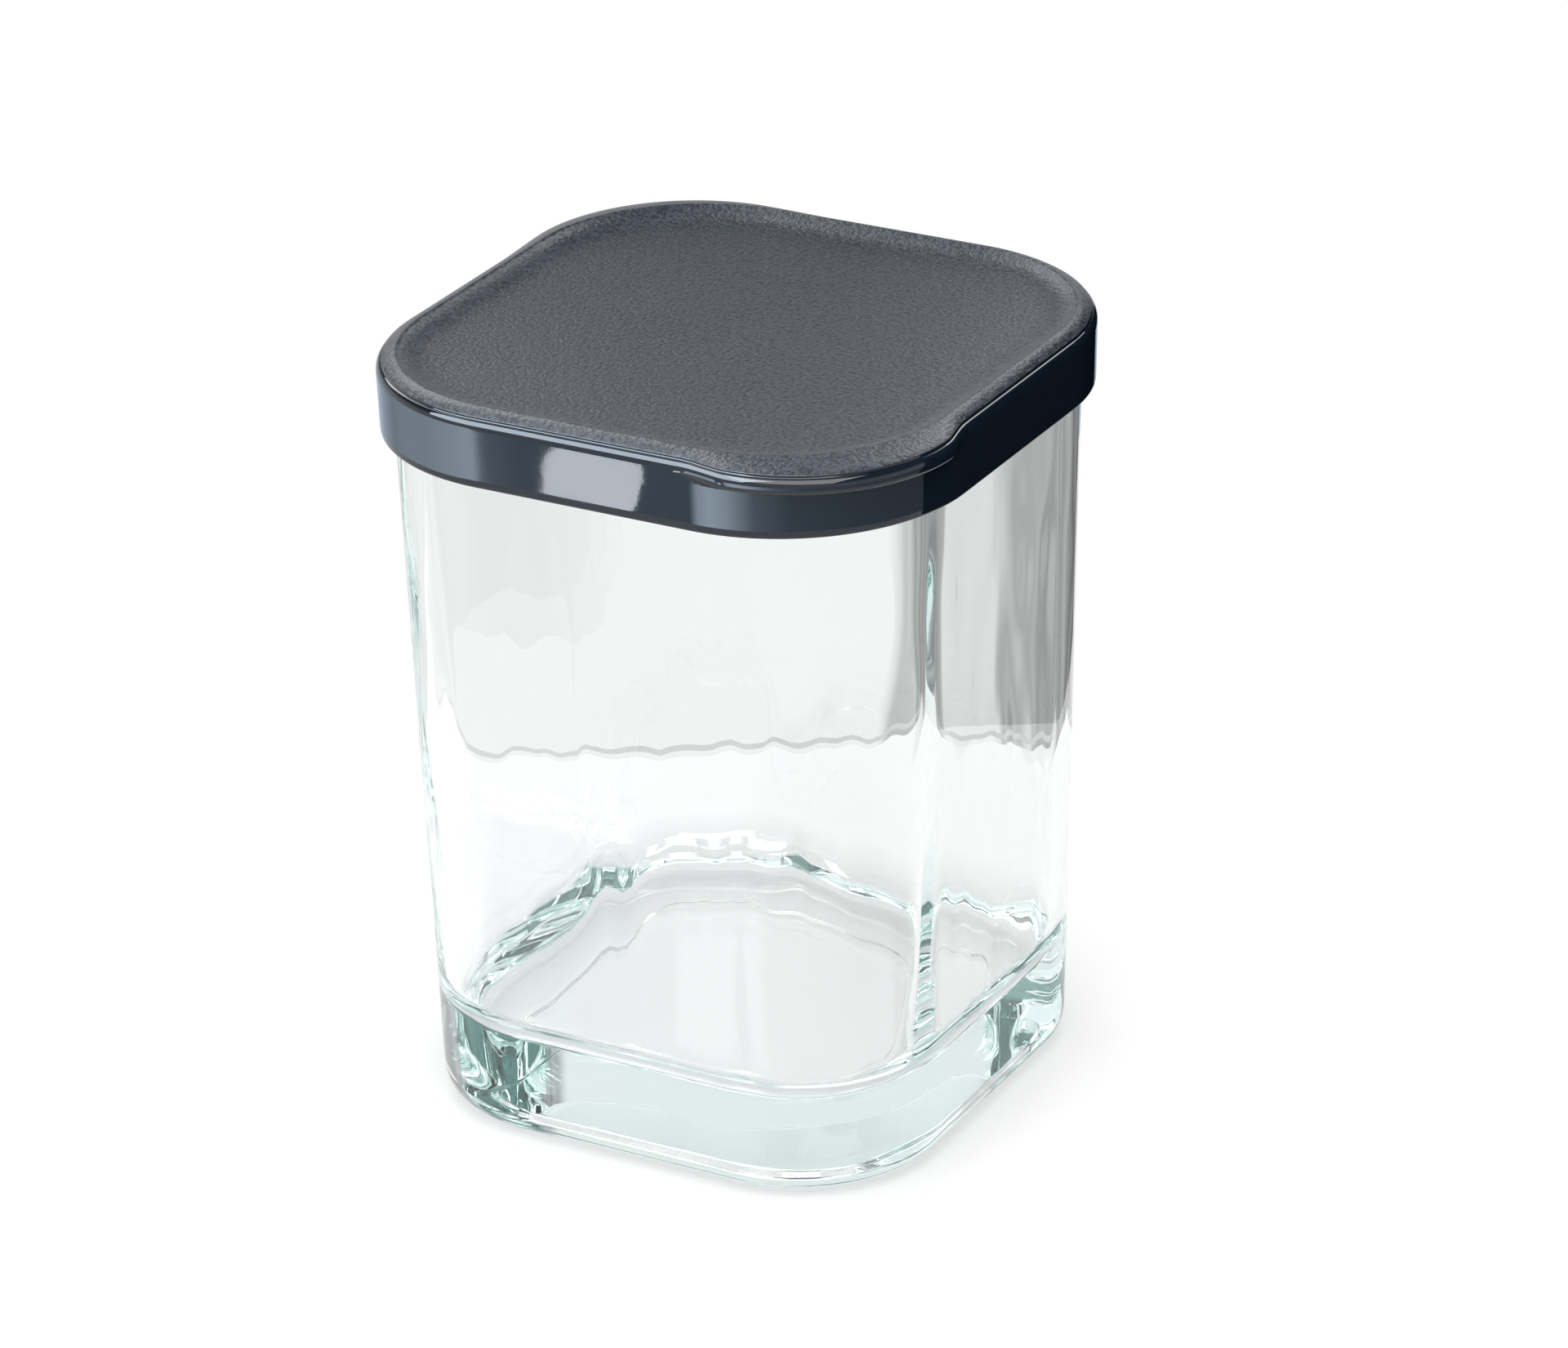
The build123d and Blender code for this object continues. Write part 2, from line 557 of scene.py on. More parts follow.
@dataclass
class Jar:
    """The pressed jar: drafted outside, faster drafted cavity, heavy base, rounded rim.

    Attributes:
        glass: Its finish.
        corner_radius: Outside plan radius at the rim.
        draft: Draft of the outside, in degrees.
        cavity_draft: Draft of the inside, in degrees.
        rim_wall: Glass thickness at the rim.
        corner_wall: How much tighter the cavity's corners are than the outside's offset.
        floor: Height of the cavity's floor.
        floor_radius: Fillet round the cavity's floor.
        heel_radius: Fillet round the foot.
        rim_radius: Rounding of the rim's edges.
        foot_ring: Width of the flat ring it stands on.
        recess: How far the middle of the foot is raised.
        waviness: How far the inner wall strays from its true face.
    """

    glass: PressedGlass = field(default_factory=PressedGlass)
    corner_radius: float = 28.0 * MM
    draft: float = 1.65
    cavity_draft: float = 1.95
    rim_wall: float = 4.7 * MM
    corner_wall: float = 1.6 * MM
    floor: float = 15.0 * MM
    floor_radius: float = 7.0 * MM
    heel_radius: float = 5.0 * MM
    rim_radius: float = 1.4 * MM
    foot_ring: float = 9.0 * MM
    recess: float = 0.6 * MM
    waviness: float = 0.20 * MM

    def __post_init__(self) -> None:
        """Takes the rim's height and width from the frame."""
        low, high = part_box("glass_jar")
        self.rim = high.z
        drafted = self.rim_radius * math.tan(math.radians(self.draft))
        self.outline = RoundedSquare((high.x - low.x) / 2 + drafted, self.corner_radius)

    def build(self, effects: Effects) -> Object:
        """Builds the jar and rides it on its body.

        Args:
            effects: The shared node groups.

        Returns:
            The piece.
        """
        rings = list(self._rings())
        piece = skin("pressed_jar", rings, Ends.CAPPED)
        piece.data.materials.append(self.glass.build(effects))
        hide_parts("glass_jar")
        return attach(piece, "jar")

    def _rings(self) -> Iterator[np.ndarray]:
        """Rings from the middle of the foot over the rim to the middle of the floor."""
        lean = math.tan(math.radians(self.draft))
        inner_lean = math.tan(math.radians(self.cavity_draft))
        foot = self.rim * lean
        ring_inner = foot + self.heel_radius + self.foot_ring
        soft = 0.8 * MM
        floor_edge = self.rim_wall + (self.rim - self.floor) * inner_lean
        outside = section([
            Turn(ring_inner + 2 * MM, self.recess),
            Turn(ring_inner + self.recess, self.recess, soft),
            Turn(ring_inner, 0.0, soft),
            Turn(foot, 0.0, self.heel_radius),
            Turn(0.0, self.rim, self.rim_radius),
            Turn(self.rim_wall / 2, self.rim),
        ], 4 * MM)
        inside = section([
            Turn(self.rim_wall / 2, self.rim),
            Turn(self.rim_wall, self.rim, self.rim_radius),
            Turn(floor_edge, self.floor, self.floor_radius),
            Turn(floor_edge + self.floor_radius + 3 * MM, self.floor),
        ], 2 * MM)
        yield from towards_centre(self.outline.ring(*outside[0]), (0.06, 0.3, 0.6, 0.85))
        for inset, height in outside:
            yield self.outline.ring(inset, height)
        last = None
        for inset, height in inside[1:]:
            last = self._wavy(inset, height)
            yield last
        yield from towards_centre(last, INWARDS)

    def _wavy(self, inset: float, height: float) -> np.ndarray:
        """One ring of the cavity, with the slow waviness of its pressed wall.

        Args:
            inset: The ring's inset from the jar's outline.
            height: The ring's height.

        Returns:
            Rows of X, Y, Z.
        """
        even = self.outline.inside(inset)
        tighter = self.corner_wall * float(ramp(inset, self.rim_wall / 2, self.rim_wall))
        plan, normals = RoundedSquare(even.half, even.radius - tighter).outline()
        depth = self.waviness * float(ramp(self.rim - height, 8 * MM, 30 * MM))
        depth *= 0.5 + 0.5 * float(ramp(height - self.floor, 1 * MM, 8 * MM))
        stray = np.zeros(len(plan))
        for share, around, upright in ((1.0, 80, 30), (0.65, 190, 45)):
            stray += [share * noise.noise(Vector((x * around, y * around, height * upright)))
                      for x, y in plan]
        return level(plan + normals * (depth * stray)[:, None], height)


# ---- the lid ----


@dataclass(frozen=True)
class FingerLip:
    """A lip on one corner of the lid, which a fingertip lifts it by.

    Attributes:
        side: 1 for the corner between +X and -Y, -1 for the opposite one.
        reach: How far the lip stands out at its ends.
        corner_radius: Plan radius of the lip's edge.
        blend: Length over which the lip fades into the straight side.
        thickness: Height of the lip's edge below the roll.
        thin: Share of that height that is left where the lip has faded out.
    """

    side: int
    reach: float = 1.3 * MM
    corner_radius: float = 26.0 * MM
    blend: float = 8.0 * MM
    thickness: float = 2.0 * MM
    thin: float = 0.3

    def along(self, lid: RoundedSquare) -> tuple[np.ndarray, np.ndarray]:
        """Measures the lip round the lid's outline.

        Args:
            lid: The lid's nominal outline.

        Returns:
            How far the lip stands out, and its share of full thickness, at each point of the
            outline.
        """
        points, normals = lid.outline()
        edge = RoundedSquare(lid.half + self.reach, self.corner_radius)
        out = np.zeros(len(points))
        for _ in range(40):
            out -= edge.gap(points + normals * out[:, None])
        nearest = np.minimum(self.side * points[:, 0], -self.side * points[:, 1])
        full = edge.half - edge.radius
        share = ramp(nearest, full - self.blend, full)
        return out * share, share


# The ledge at the edge of the matt top, in millimetres: inset, and drop below the border's edge.
MATT_EDGE = ((1.00, 0.05), (0.96, 0.10), (0.95, 0.16), (0.93, 0.52), (0.87, 0.56))

# The underside of a finger lip: share of its reach that is left, and of its thickness above.
LIP_UNDERSIDE = ((1.0, 0.20), (0.99, 0.34), (0.965, 0.44), (0.92, 0.51), (0.85, 0.56),
                 (0.74, 0.60), (0.58, 0.625), (0.40, 0.64), (0.22, 0.655), (0.10, 0.68),
                 (0.03, 0.72), (0.0, 0.80))


@dataclass(frozen=True)
class Station:
    """One ring of the lid's outer skin.

    Attributes:
        inset: Distance inwards from the lid's outline.
        drop: Distance below the crest.
        lip: How much of the finger lip's reach it takes.
        sag: How much of the lip's thickness lies above it.
        finish: Finish of the band that follows.
    """

    inset: float
    drop: float
    lip: float = 0.0
    sag: float = 0.0
    finish: Finish = Finish.GRAINED


@dataclass
class LidCover:
    """The lid's outer moulding: matt dish, raised border, polished skirt and finger lips.

    Attributes:
        front_lip: The finger lip at the front corner.
        rear_lip: The softer one at the corner behind it.
        corner_radius: Plan radius of the skirt's corners.
        draft: Draft of the skirt, in degrees.
        border: Skirt face to the crest of the border.
        border_drop: Crest to the edge of the matt top.
        dish_margin: Skirt face to the dish floor.
        dish_depth: Crest to the dish floor.
        wall: Thickness of the skirt.
        plate: Thickness under the dish floor.
        roll: Height of the rolled edge at the top of the skirt.
        roll_width: Its width.
        foot_radius: Rounding of the skirt's lower edge.
    """

    front_lip: FingerLip = FingerLip(side=1)
    rear_lip: FingerLip = FingerLip(side=-1, reach=0.5 * MM, corner_radius=28.0 * MM,
                                    blend=14.0 * MM)
    corner_radius: float = 31.0 * MM
    draft: float = 1.5
    border: float = 3.3 * MM
    border_drop: float = 0.9 * MM
    dish_margin: float = 10.0 * MM
    dish_depth: float = 1.6 * MM
    wall: float = 1.9 * MM
    plate: float = 1.7 * MM
    roll: float = 1.4 * MM
    roll_width: float = 0.85 * MM
    foot_radius: float = 0.4 * MM

    def __post_init__(self) -> None:
        """Takes the crest, the skirt's foot and the lid's side from the frame."""
        low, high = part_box("lid_cover")
        self.crest, self.foot = high.z, low.z
        self.outline = RoundedSquare(high.x - self.front_lip.reach, self.corner_radius)
        self.ceiling = self.crest - self.dish_depth - self.plate

    def build(self, finishes: Sequence[Material]) -> Object:
        """Builds the cover and rides it on the lid.

        Args:
            finishes: The grained, polished and satin plastics, in the order of Finish.

        Returns:
            The piece.
        """
        stations = list(self._outer_stations())
        rings = list(self._dish_rings())
        bands = [Finish.GRAINED] * len(rings) + [s.finish for s in stations]
        rings += list(self._ringed(stations))
        inner = list(self._inner_rings())
        rings += inner
        bands += [Finish.SATIN] * len(inner)
        piece = skin("lid_moulding", rings, Ends.CAPPED, lambda band: bands[band].value)
        for material in finishes:
            piece.data.materials.append(material)
        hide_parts("lid_cover")
        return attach(piece, "lid")

    def _dish_rings(self) -> Iterator[np.ndarray]:
        """Rings of the dish floor, from its middle outwards."""
        edge = self.outline.ring(self.dish_margin, self.crest - self.dish_depth)
        yield from towards_centre(edge, (0.05, 0.2, 0.4, 0.6, 0.75, 0.88, 0.96))

    def _outer_stations(self) -> Iterator[Station]:
        """Stations from the dish floor's edge over the border and down the skirt."""
        slope = self.dish_margin - self.border
        for share in np.linspace(0.0, 1.0, 15):
            drop = self.dish_depth * (1 - 0.30 * share ** 2 - 0.70 * share ** 4)
            yield Station(self.dish_margin - slope * share, drop)
        run = self.border - MATT_EDGE[0][0] * MM - 0.05 * MM
        for share in np.linspace(0.1, 1.0, 10):
            drop = 0.02 * MM + self.border_drop * share ** 1.7
            yield Station(self.border - run * share, drop, float(ramp(share, 0.0, 1.05)))
        for step, (inset, drop) in enumerate(MATT_EDGE):
            finish = Finish.POLISHED if step else Finish.GRAINED
            yield Station(inset * MM, self.border_drop + drop * MM, 1.0, finish=finish)
        top_of_roll = self.border_drop + MATT_EDGE[-1][1] * MM
        for angle in np.linspace(0.0, math.pi / 2, 13)[1:]:
            yield Station(self.roll_width * (1 - math.sin(angle)),
                          top_of_roll + self.roll * (1 - math.cos(angle)), 1.0,
                          finish=Finish.POLISHED)
        foot_of_roll = top_of_roll + self.roll
        for lip, sag in LIP_UNDERSIDE:
            yield Station(0.0, foot_of_roll, lip, sag, Finish.POLISHED)
        height = self.crest - self.foot
        for drop in np.linspace(foot_of_roll + self.front_lip.thickness, height - 0.5 * MM, 8):
            yield Station(0.0, float(drop), finish=Finish.POLISHED)
        for angle in np.linspace(0.0, math.pi / 2, 7)[1:]:
            yield Station(self.foot_radius * (1 - math.cos(angle)),
                          height - self.foot_radius * (1 - math.sin(angle)),
                          finish=Finish.POLISHED)
        yield Station(self.wall - 0.5 * MM, height, finish=Finish.SATIN)

    def _ringed(self, stations: Sequence[Station]) -> Iterator[np.ndarray]:
        """Turns stations into rings.

        Args:
            stations: The stations in order.

        Yields:
            Rows of X, Y, Z.
        """
        front, front_share = self.front_lip.along(self.outline)
        rear, rear_share = self.rear_lip.along(self.outline)
        out, thin = front + rear, self.front_lip.thin
        tall = self.front_lip.thickness * (thin + (1 - thin) * (front_share + rear_share))
        lean = math.tan(math.radians(self.draft))
        for station in stations:
            drop = station.drop + station.sag * tall
            plan, normals = self.outline.inside(station.inset).outline()
            shift = out * station.lip - np.maximum(drop - self.border_drop, 0.0) * lean
            plan = plan + normals * shift[:, None]
            yield np.column_stack([plan, self.crest - drop])

    def _inner_rings(self) -> Iterator[np.ndarray]:
        """Rings up the inside of the skirt and over the ceiling."""
        lean = math.tan(math.radians(self.draft))
        height = self.crest - self.foot
        turns = section([
            Turn(self.wall - self.foot_radius + height * lean, self.foot),
            Turn(self.wall + (self.ceiling - self.foot) * lean, self.foot, 0.3 * MM),
            Turn(self.wall, self.ceiling, 0.6 * MM),
            Turn(self.wall + 4 * MM, self.ceiling),
        ], 3 * MM)
        for inset, z in turns[1:]:
            yield self.outline.ring(inset, z)
        yield from towards_centre(self.outline.ring(*turns[-1]), INWARDS)


@dataclass
class InnerTray:
    """The tray under the cover that enters the mouth and carries the seal.

    Attributes:
        corner_radius: Plan radius of its wall.
        wall: Thickness of its wall and plate.
        bead: How far the bead that holds the seal stands out.
        bead_height: Height of the bead.
    """

    corner_radius: float = 19.2 * MM
    wall: float = 1.8 * MM
    bead: float = 1.5 * MM
    bead_height: float = 1.6 * MM

    def __post_init__(self) -> None:
        """Takes the tray's side and levels from the frame."""
        low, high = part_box("lid_plug")
        self.top, self.foot = high.z, low.z
        self.outline = RoundedSquare(high.x - self.bead, self.corner_radius)

    def build(self, satin: Material) -> Object:
        """Builds the tray and rides it on the lid.

        Args:
            satin: Its finish.

        Returns:
            The piece.
        """
        bead_top = self.foot + self.bead_height
        turns = section([
            Turn(4 * MM, self.top),
            Turn(0.0, self.top, 0.3 * MM),
            Turn(0.0, bead_top, 0.2 * MM),
            Turn(-self.bead, bead_top, 0.4 * MM),
            Turn(-self.bead, self.foot, 0.6 * MM),
            Turn(self.wall, self.foot, 0.6 * MM),
            Turn(self.wall, self.top - self.wall, 1.2 * MM),
            Turn(self.wall + 4 * MM, self.top - self.wall),
        ], 2 * MM)
        walls = [self.outline.ring(inset, z) for inset, z in turns]
        rings = towards_centre(walls[0], (0.05, 0.4, 0.8)) + walls
        rings += towards_centre(walls[-1], (0.85, 0.5, 0.05))
        piece = skin("inner_tray", rings, Ends.CAPPED)
        piece.data.materials.append(satin)
        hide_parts("lid_plug")
        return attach(piece, "lid")


@dataclass
class Seal:
    """The silicone seal: flange on the rim, sleeve over the tray, two lips to the glass.

    Attributes:
        slack: Gap to the tray it is stretched over.
        sleeve: Thickness of the sleeve.
        lip_reach: How far the lips stand out from the tray.
        lip_height: Height of a lip.
        flange: Thickness of the flange.
    """

    slack: float = 0.05 * MM
    sleeve: float = 1.1 * MM
    lip_reach: float = 2.2 * MM
    lip_height: float = 1.4 * MM
    flange: float = 1.4 * MM

    def build(self, tray: InnerTray, silicone: Material) -> Object:
        """Builds the seal and rides it on the lid.

        Args:
            tray: The tray that carries it.
            silicone: Its finish.

        Returns:
            The piece.
        """
        low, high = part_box("seal_ring")
        wide = tray.outline.half - high.x
        under = high.z - self.flange
        turns = [Turn(-self.slack, low.z + 1 * MM), Turn(-self.slack, high.z, 0.1 * MM),
                 Turn(wide, high.z, 0.3 * MM), Turn(wide, under, 0.3 * MM),
                 Turn(-self.sleeve, under, 0.5 * MM)]
        for share in (0.55, 0.15):
            foot = low.z + share * (under - low.z)
            tip = foot + self.lip_height / 2
            turns += [Turn(-self.sleeve, foot + self.lip_height, 0.2 * MM),
                      Turn(-self.lip_reach, tip + 0.25 * MM, 0.15 * MM),
                      Turn(-self.lip_reach, tip - 0.25 * MM, 0.15 * MM),
                      Turn(-self.sleeve, foot, 0.2 * MM)]
        turns += [Turn(-self.sleeve, low.z, 0.15 * MM), Turn(-self.slack, low.z, 0.15 * MM),
                  Turn(-self.slack, low.z + 0.9 * MM)]
        rings = [tray.outline.ring(inset, z) for inset, z in section(turns, 2 * MM)]
        piece = skin("silicone_seal", rings, Ends.LOOPED)
        piece.data.materials.append(silicone)
        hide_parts("seal_ring")
        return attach(piece, "lid")


# ---- the studio ----


@dataclass
class Viewpoint:
    """The camera: a long lens from above the jar's front corner.

    Attributes:
        azimuth: Degrees round the object from -Y towards +X.
        elevation: Degrees above the horizon.
        roll: Degrees of roll.
        distance: From the aim point.
        aim: Height of the aim point on the centre line.
        pan: Degrees the frame's centre lies right of the aim point.
        tilt: Degrees it lies above it.
        lens: Focal length in millimetres.
    """

    azimuth: float = 29.68
    elevation: float = 25.0
    roll: float = -1.46
    distance: float = 1.089
    aim: float = 0.06206
    pan: float = 0.303
    tilt: float = 0.302
    lens: float = 155.0

    def build(self) -> None:
        """Makes the camera the scene's own."""
        a, e, r = (math.radians(v) for v in (self.azimuth, self.elevation, self.roll))
        back = Vector((math.sin(a) * math.cos(e), -math.cos(a) * math.cos(e), math.sin(e)))
        level_right = Vector((math.cos(a), math.sin(a), 0.0))
        level_up = back.cross(level_right)
        right = math.cos(r) * level_right + math.sin(r) * level_up
        up = math.cos(r) * level_up - math.sin(r) * level_right
        stand = Vector((0.0, 0.0, self.aim)) + back * self.distance
        back = (back - math.tan(math.radians(self.pan)) * right
                - math.tan(math.radians(self.tilt)) * up).normalized()
        right = (right - right.dot(back) * back).normalized()
        up = back.cross(right)
        camera = in_scene("camera", bpy.data.cameras.new("camera"))
        camera.data.lens = self.lens
        camera.data.sensor_width = 36.0
        camera.data.clip_start, camera.data.clip_end = 0.01, 30.0
        turned = Matrix((right, up, back)).transposed().to_4x4()
        camera.matrix_world = Matrix.Translation(stand) @ turned
        bpy.context.scene.camera = camera


@dataclass(frozen=True)
class Card:
    """A flat card that only reflections and refractions see.

    Attributes:
        name: Name of the card.
        centre: Its middle.
        faces: The point that it faces.
        width: Level size.
        height: Upright size.
        glow: Radiance, 0 for a black card.
        in_glass: Whether it shows through the glass as well as in reflections.
        tint: Colour of the glow.
        turned: Degrees it is turned in its own plane.
        rounded: Whether its corners are rounded off, with slightly wavy sides.
    """

    name: str
    centre: Triple
    faces: Triple
    width: float
    height: float
    glow: float
    in_glass: bool = False
    tint: Triple = WHITE
    turned: float = 0.0
    rounded: bool = False

    def build(self) -> None:
        """Makes the card, seen only in reflections and, where in_glass is set, through the glass.
        """
        data = bpy.data.meshes.new(self.name)
        outline = list(self._outline())
        data.from_pydata(outline, [], [tuple(range(len(outline)))])
        card = in_scene(self.name, data)
        towards = Vector(self.faces) - Vector(self.centre)
        card.rotation_euler = towards.to_track_quat("Z", "Y").to_euler()
        card.location = self.centre
        w = glowing(data)
        w.show(w.add("Emission", Color=(*self.tint, 1.0), Strength=self.glow))
        studio_only(card, reflected=True, in_glass=self.in_glass)

    def _outline(self) -> Iterator[Triple]:
        """Points round the card, in its own plane."""
        power, steps, wave = (0.34, 96, 0.035) if self.rounded else (0.0, 4, 0.0)
        cosine, sine = math.cos(math.radians(self.turned)), math.sin(math.radians(self.turned))
        for step in range(steps):
            angle = math.tau * (step + 0.5) / steps
            across, up = math.cos(angle), math.sin(angle)
            x = math.copysign(abs(across) ** power, across) * self.width / 2
            y = math.copysign(abs(up) ** power, up) * self.height / 2
            x *= 1 + wave * math.sin(3.0 * math.pi * y / self.height + 0.8)
            yield x * cosine - y * sine, x * sine + y * cosine, 0.0


@dataclass(frozen=True)
class ReflectorBand:
    """An upright band round the object that glows by azimuth, seen only by way of the object.

    Attributes:
        name: Name of the band.
        radius: Its distance from the centre line.
        low: Height of its lower edge at some azimuths, as pairs.
        high: Height of its upper edge.
        stops: Its glow at some azimuths, in degrees from +X, as pairs of azimuth and radiance.
            It reaches from the first azimuth to the last.
        tint: Colour of the glow.
        in_glass: Whether it shows through the glass instead of in reflections.
        facet: Widest facet, in degrees.
        brightest: Radiance that the colour ramp's 1 stands for.
    """

    name: str
    radius: float
    low: tuple[tuple[float, float], ...]
    high: float
    stops: tuple[tuple[float, float], ...]
    tint: Triple = WHITE
    in_glass: bool = False
    facet: float = 3.0
    brightest: float = 8.0

    def build(self) -> None:
        """Makes the band, seen only in reflections or, where in_glass is set, only through the
        glass.
        """
        first, last = self.stops[0][0], self.stops[-1][0]
        count = math.ceil((last - first) / self.facet) + 1
        around = np.linspace(first, last, count)
        angles = np.radians(around)
        plan = self.radius * np.column_stack([np.cos(angles), np.sin(angles)])
        foot = np.interp(around, *zip(*self.low))
        points = np.vstack([np.column_stack([plan, foot]), level(plan, self.high)])
        data = bpy.data.meshes.new(self.name)
        data.from_pydata(points.tolist(), [],
                         [(i, i + 1, i + 1 + count, i + count) for i in range(count - 1)])
        w = glowing(data)
        radial = w.add("TexGradient", settings={"gradient_type": "RADIAL"},
                       Vector=w.add("TexCoord").outputs["Object"])
        glow = w.add("ValToRGB", Fac=radial.outputs["Fac"])
        elements = glow.color_ramp.elements
        while len(elements) < len(self.stops):
            elements.new(0.5)
        for element, (azimuth, radiance) in zip(elements, self.stops):
            element.position = (azimuth + 180) / 360
            element.color = (*(radiance / self.brightest * share for share in self.tint), 1.0)
        w.show(w.add("Emission", Color=glow.outputs["Color"], Strength=self.brightest))
        band = in_scene(self.name, data)
        studio_only(band, reflected=not self.in_glass, in_glass=self.in_glass)


@dataclass(frozen=True)
class Softbox:
    """A square area light.

    Attributes:
        name: Its name.
        where: Its place.
        faces: The point it faces.
        side: Its size.
        power: Its power in watts.
    """

    name: str
    where: Triple
    faces: Triple
    side: float
    power: float

    def build(self) -> None:
        """Makes the light."""
        light = bpy.data.lights.new(self.name, "AREA")
        light.shape, light.size, light.energy = "SQUARE", self.side, self.power
        holder = in_scene(self.name, light)
        holder.location = self.where
        towards = Vector(self.faces) - Vector(self.where)
        holder.rotation_euler = towards.to_track_quat("-Z", "Y").to_euler()


def glowing(data: Mesh) -> Wiring:
    """Gives a studio mesh a material of its own name.

    Args:
        data: The mesh.

    Returns:
        The wiring of the material, which is still empty.
    """
    material = bpy.data.materials.new(data.name)
    material.use_nodes = True
    data.materials.append(material)
    return Wiring(material.node_tree)


def studio_only(thing: Object, *, reflected: bool, in_glass: bool) -> None:
    """Hides a studio card from everything but reflections and glass.

    Args:
        thing: The card.
        reflected: Whether it shows in reflections.
        in_glass: Whether it shows through the glass.
    """
    thing.visible_camera = thing.visible_diffuse = thing.visible_shadow = False
    thing.visible_volume_scatter = False
    thing.visible_glossy = reflected
    thing.visible_transmission = in_glass


# The middle of the lid's skirt, and its rolled edge at the front and at the right.
SKIRT = (0.0, 0.0, 0.12)
FRONT_ROLL = (0.0, -0.048, 0.128)
RIGHT_ROLL = (0.048, 0.0, 0.128)

SOFTBOXES = (
    Softbox("key_softbox", (-0.42, 0.26, 0.52), (0.0, 0.0, 0.10), side=0.30, power=1.3),
    Softbox("near_softbox", (0.06, -0.15, 0.28), (0.02, -0.04, 0.12), side=0.26, power=1.0),
    Softbox("front_rim_softbox", (-0.067, 0.0, 0.25), FRONT_ROLL, side=0.08, power=0.03),
    Softbox("side_rim_softbox", (0.004, 0.197, 0.276), RIGHT_ROLL, side=0.10, power=0.13),
)

# What the skirt mirrors. Its lower edge is cut so that the glass below the lid doesn't mirror it.
SKIRT_REFLECTOR = ReflectorBand(
    "reflector_band", radius=0.235, high=0.075, tint=(0.82, 1.0, 1.18),
    low=((-180, 0.026), (-120, 0.028), (-110, 0.019), (-50, 0.027), (50, 0.0135), (180, 0.024)),
    stops=((-180, 1.0), (-150, 2.7), (-123, 5.2), (-120.4, 5.0), (-119.4, 1.0), (-109.2, 0.9),
           (-106.0, 5.0), (-99, 6.4), (-91, 5.4), (-76, 1.7), (-58, 0.8), (-30, 0.6), (15, 0.35),
           (45, 0.02), (70, 0.02), (88, 0.6), (105, 0.8), (140, 0.8), (180, 1.0)))

# Upright streaks that show through the jar's right side.
STREAKED_SCREEN = ReflectorBand(
    "streaked_screen", radius=0.15, high=0.13, low=((0, -0.12), (90, -0.12)), in_glass=True,
    stops=((30, 0.50), (50, 0.25), (62, 0.50), (70, 0.20), (77, 0.45), (83, 0.15), (88, 0.45),
           (92, 0.25), (95, 0.50), (98, 0.38), (100.5, 0.62), (102.5, 0.87)))

# The window and its patch in the skirt, and the dark surfaces on the glass's right side.
CARDS = (
    Card("window_patch", (-0.0965, -0.209, 0.0322), SKIRT, width=0.0180, height=0.0105, glow=10.5,
         tint=(0.93, 1.0, 1.09), turned=13.0, rounded=True),
    Card("window_card", (-0.27, -0.42, 0.46), SKIRT, width=0.58, height=0.56, glow=11.0,
         tint=(0.86, 1.0, 1.14)),
    Card("dark_side_card", (0.115, 0.115, 0.13), (0.03, 0.0, 0.13), width=0.24, height=0.20,
         glow=0.0),
    Card("dark_low_card", (0.116, 0.116, 0.0265), (0.03, 0.0, 0.0265), width=0.24, height=0.057,
         glow=0.0),
)


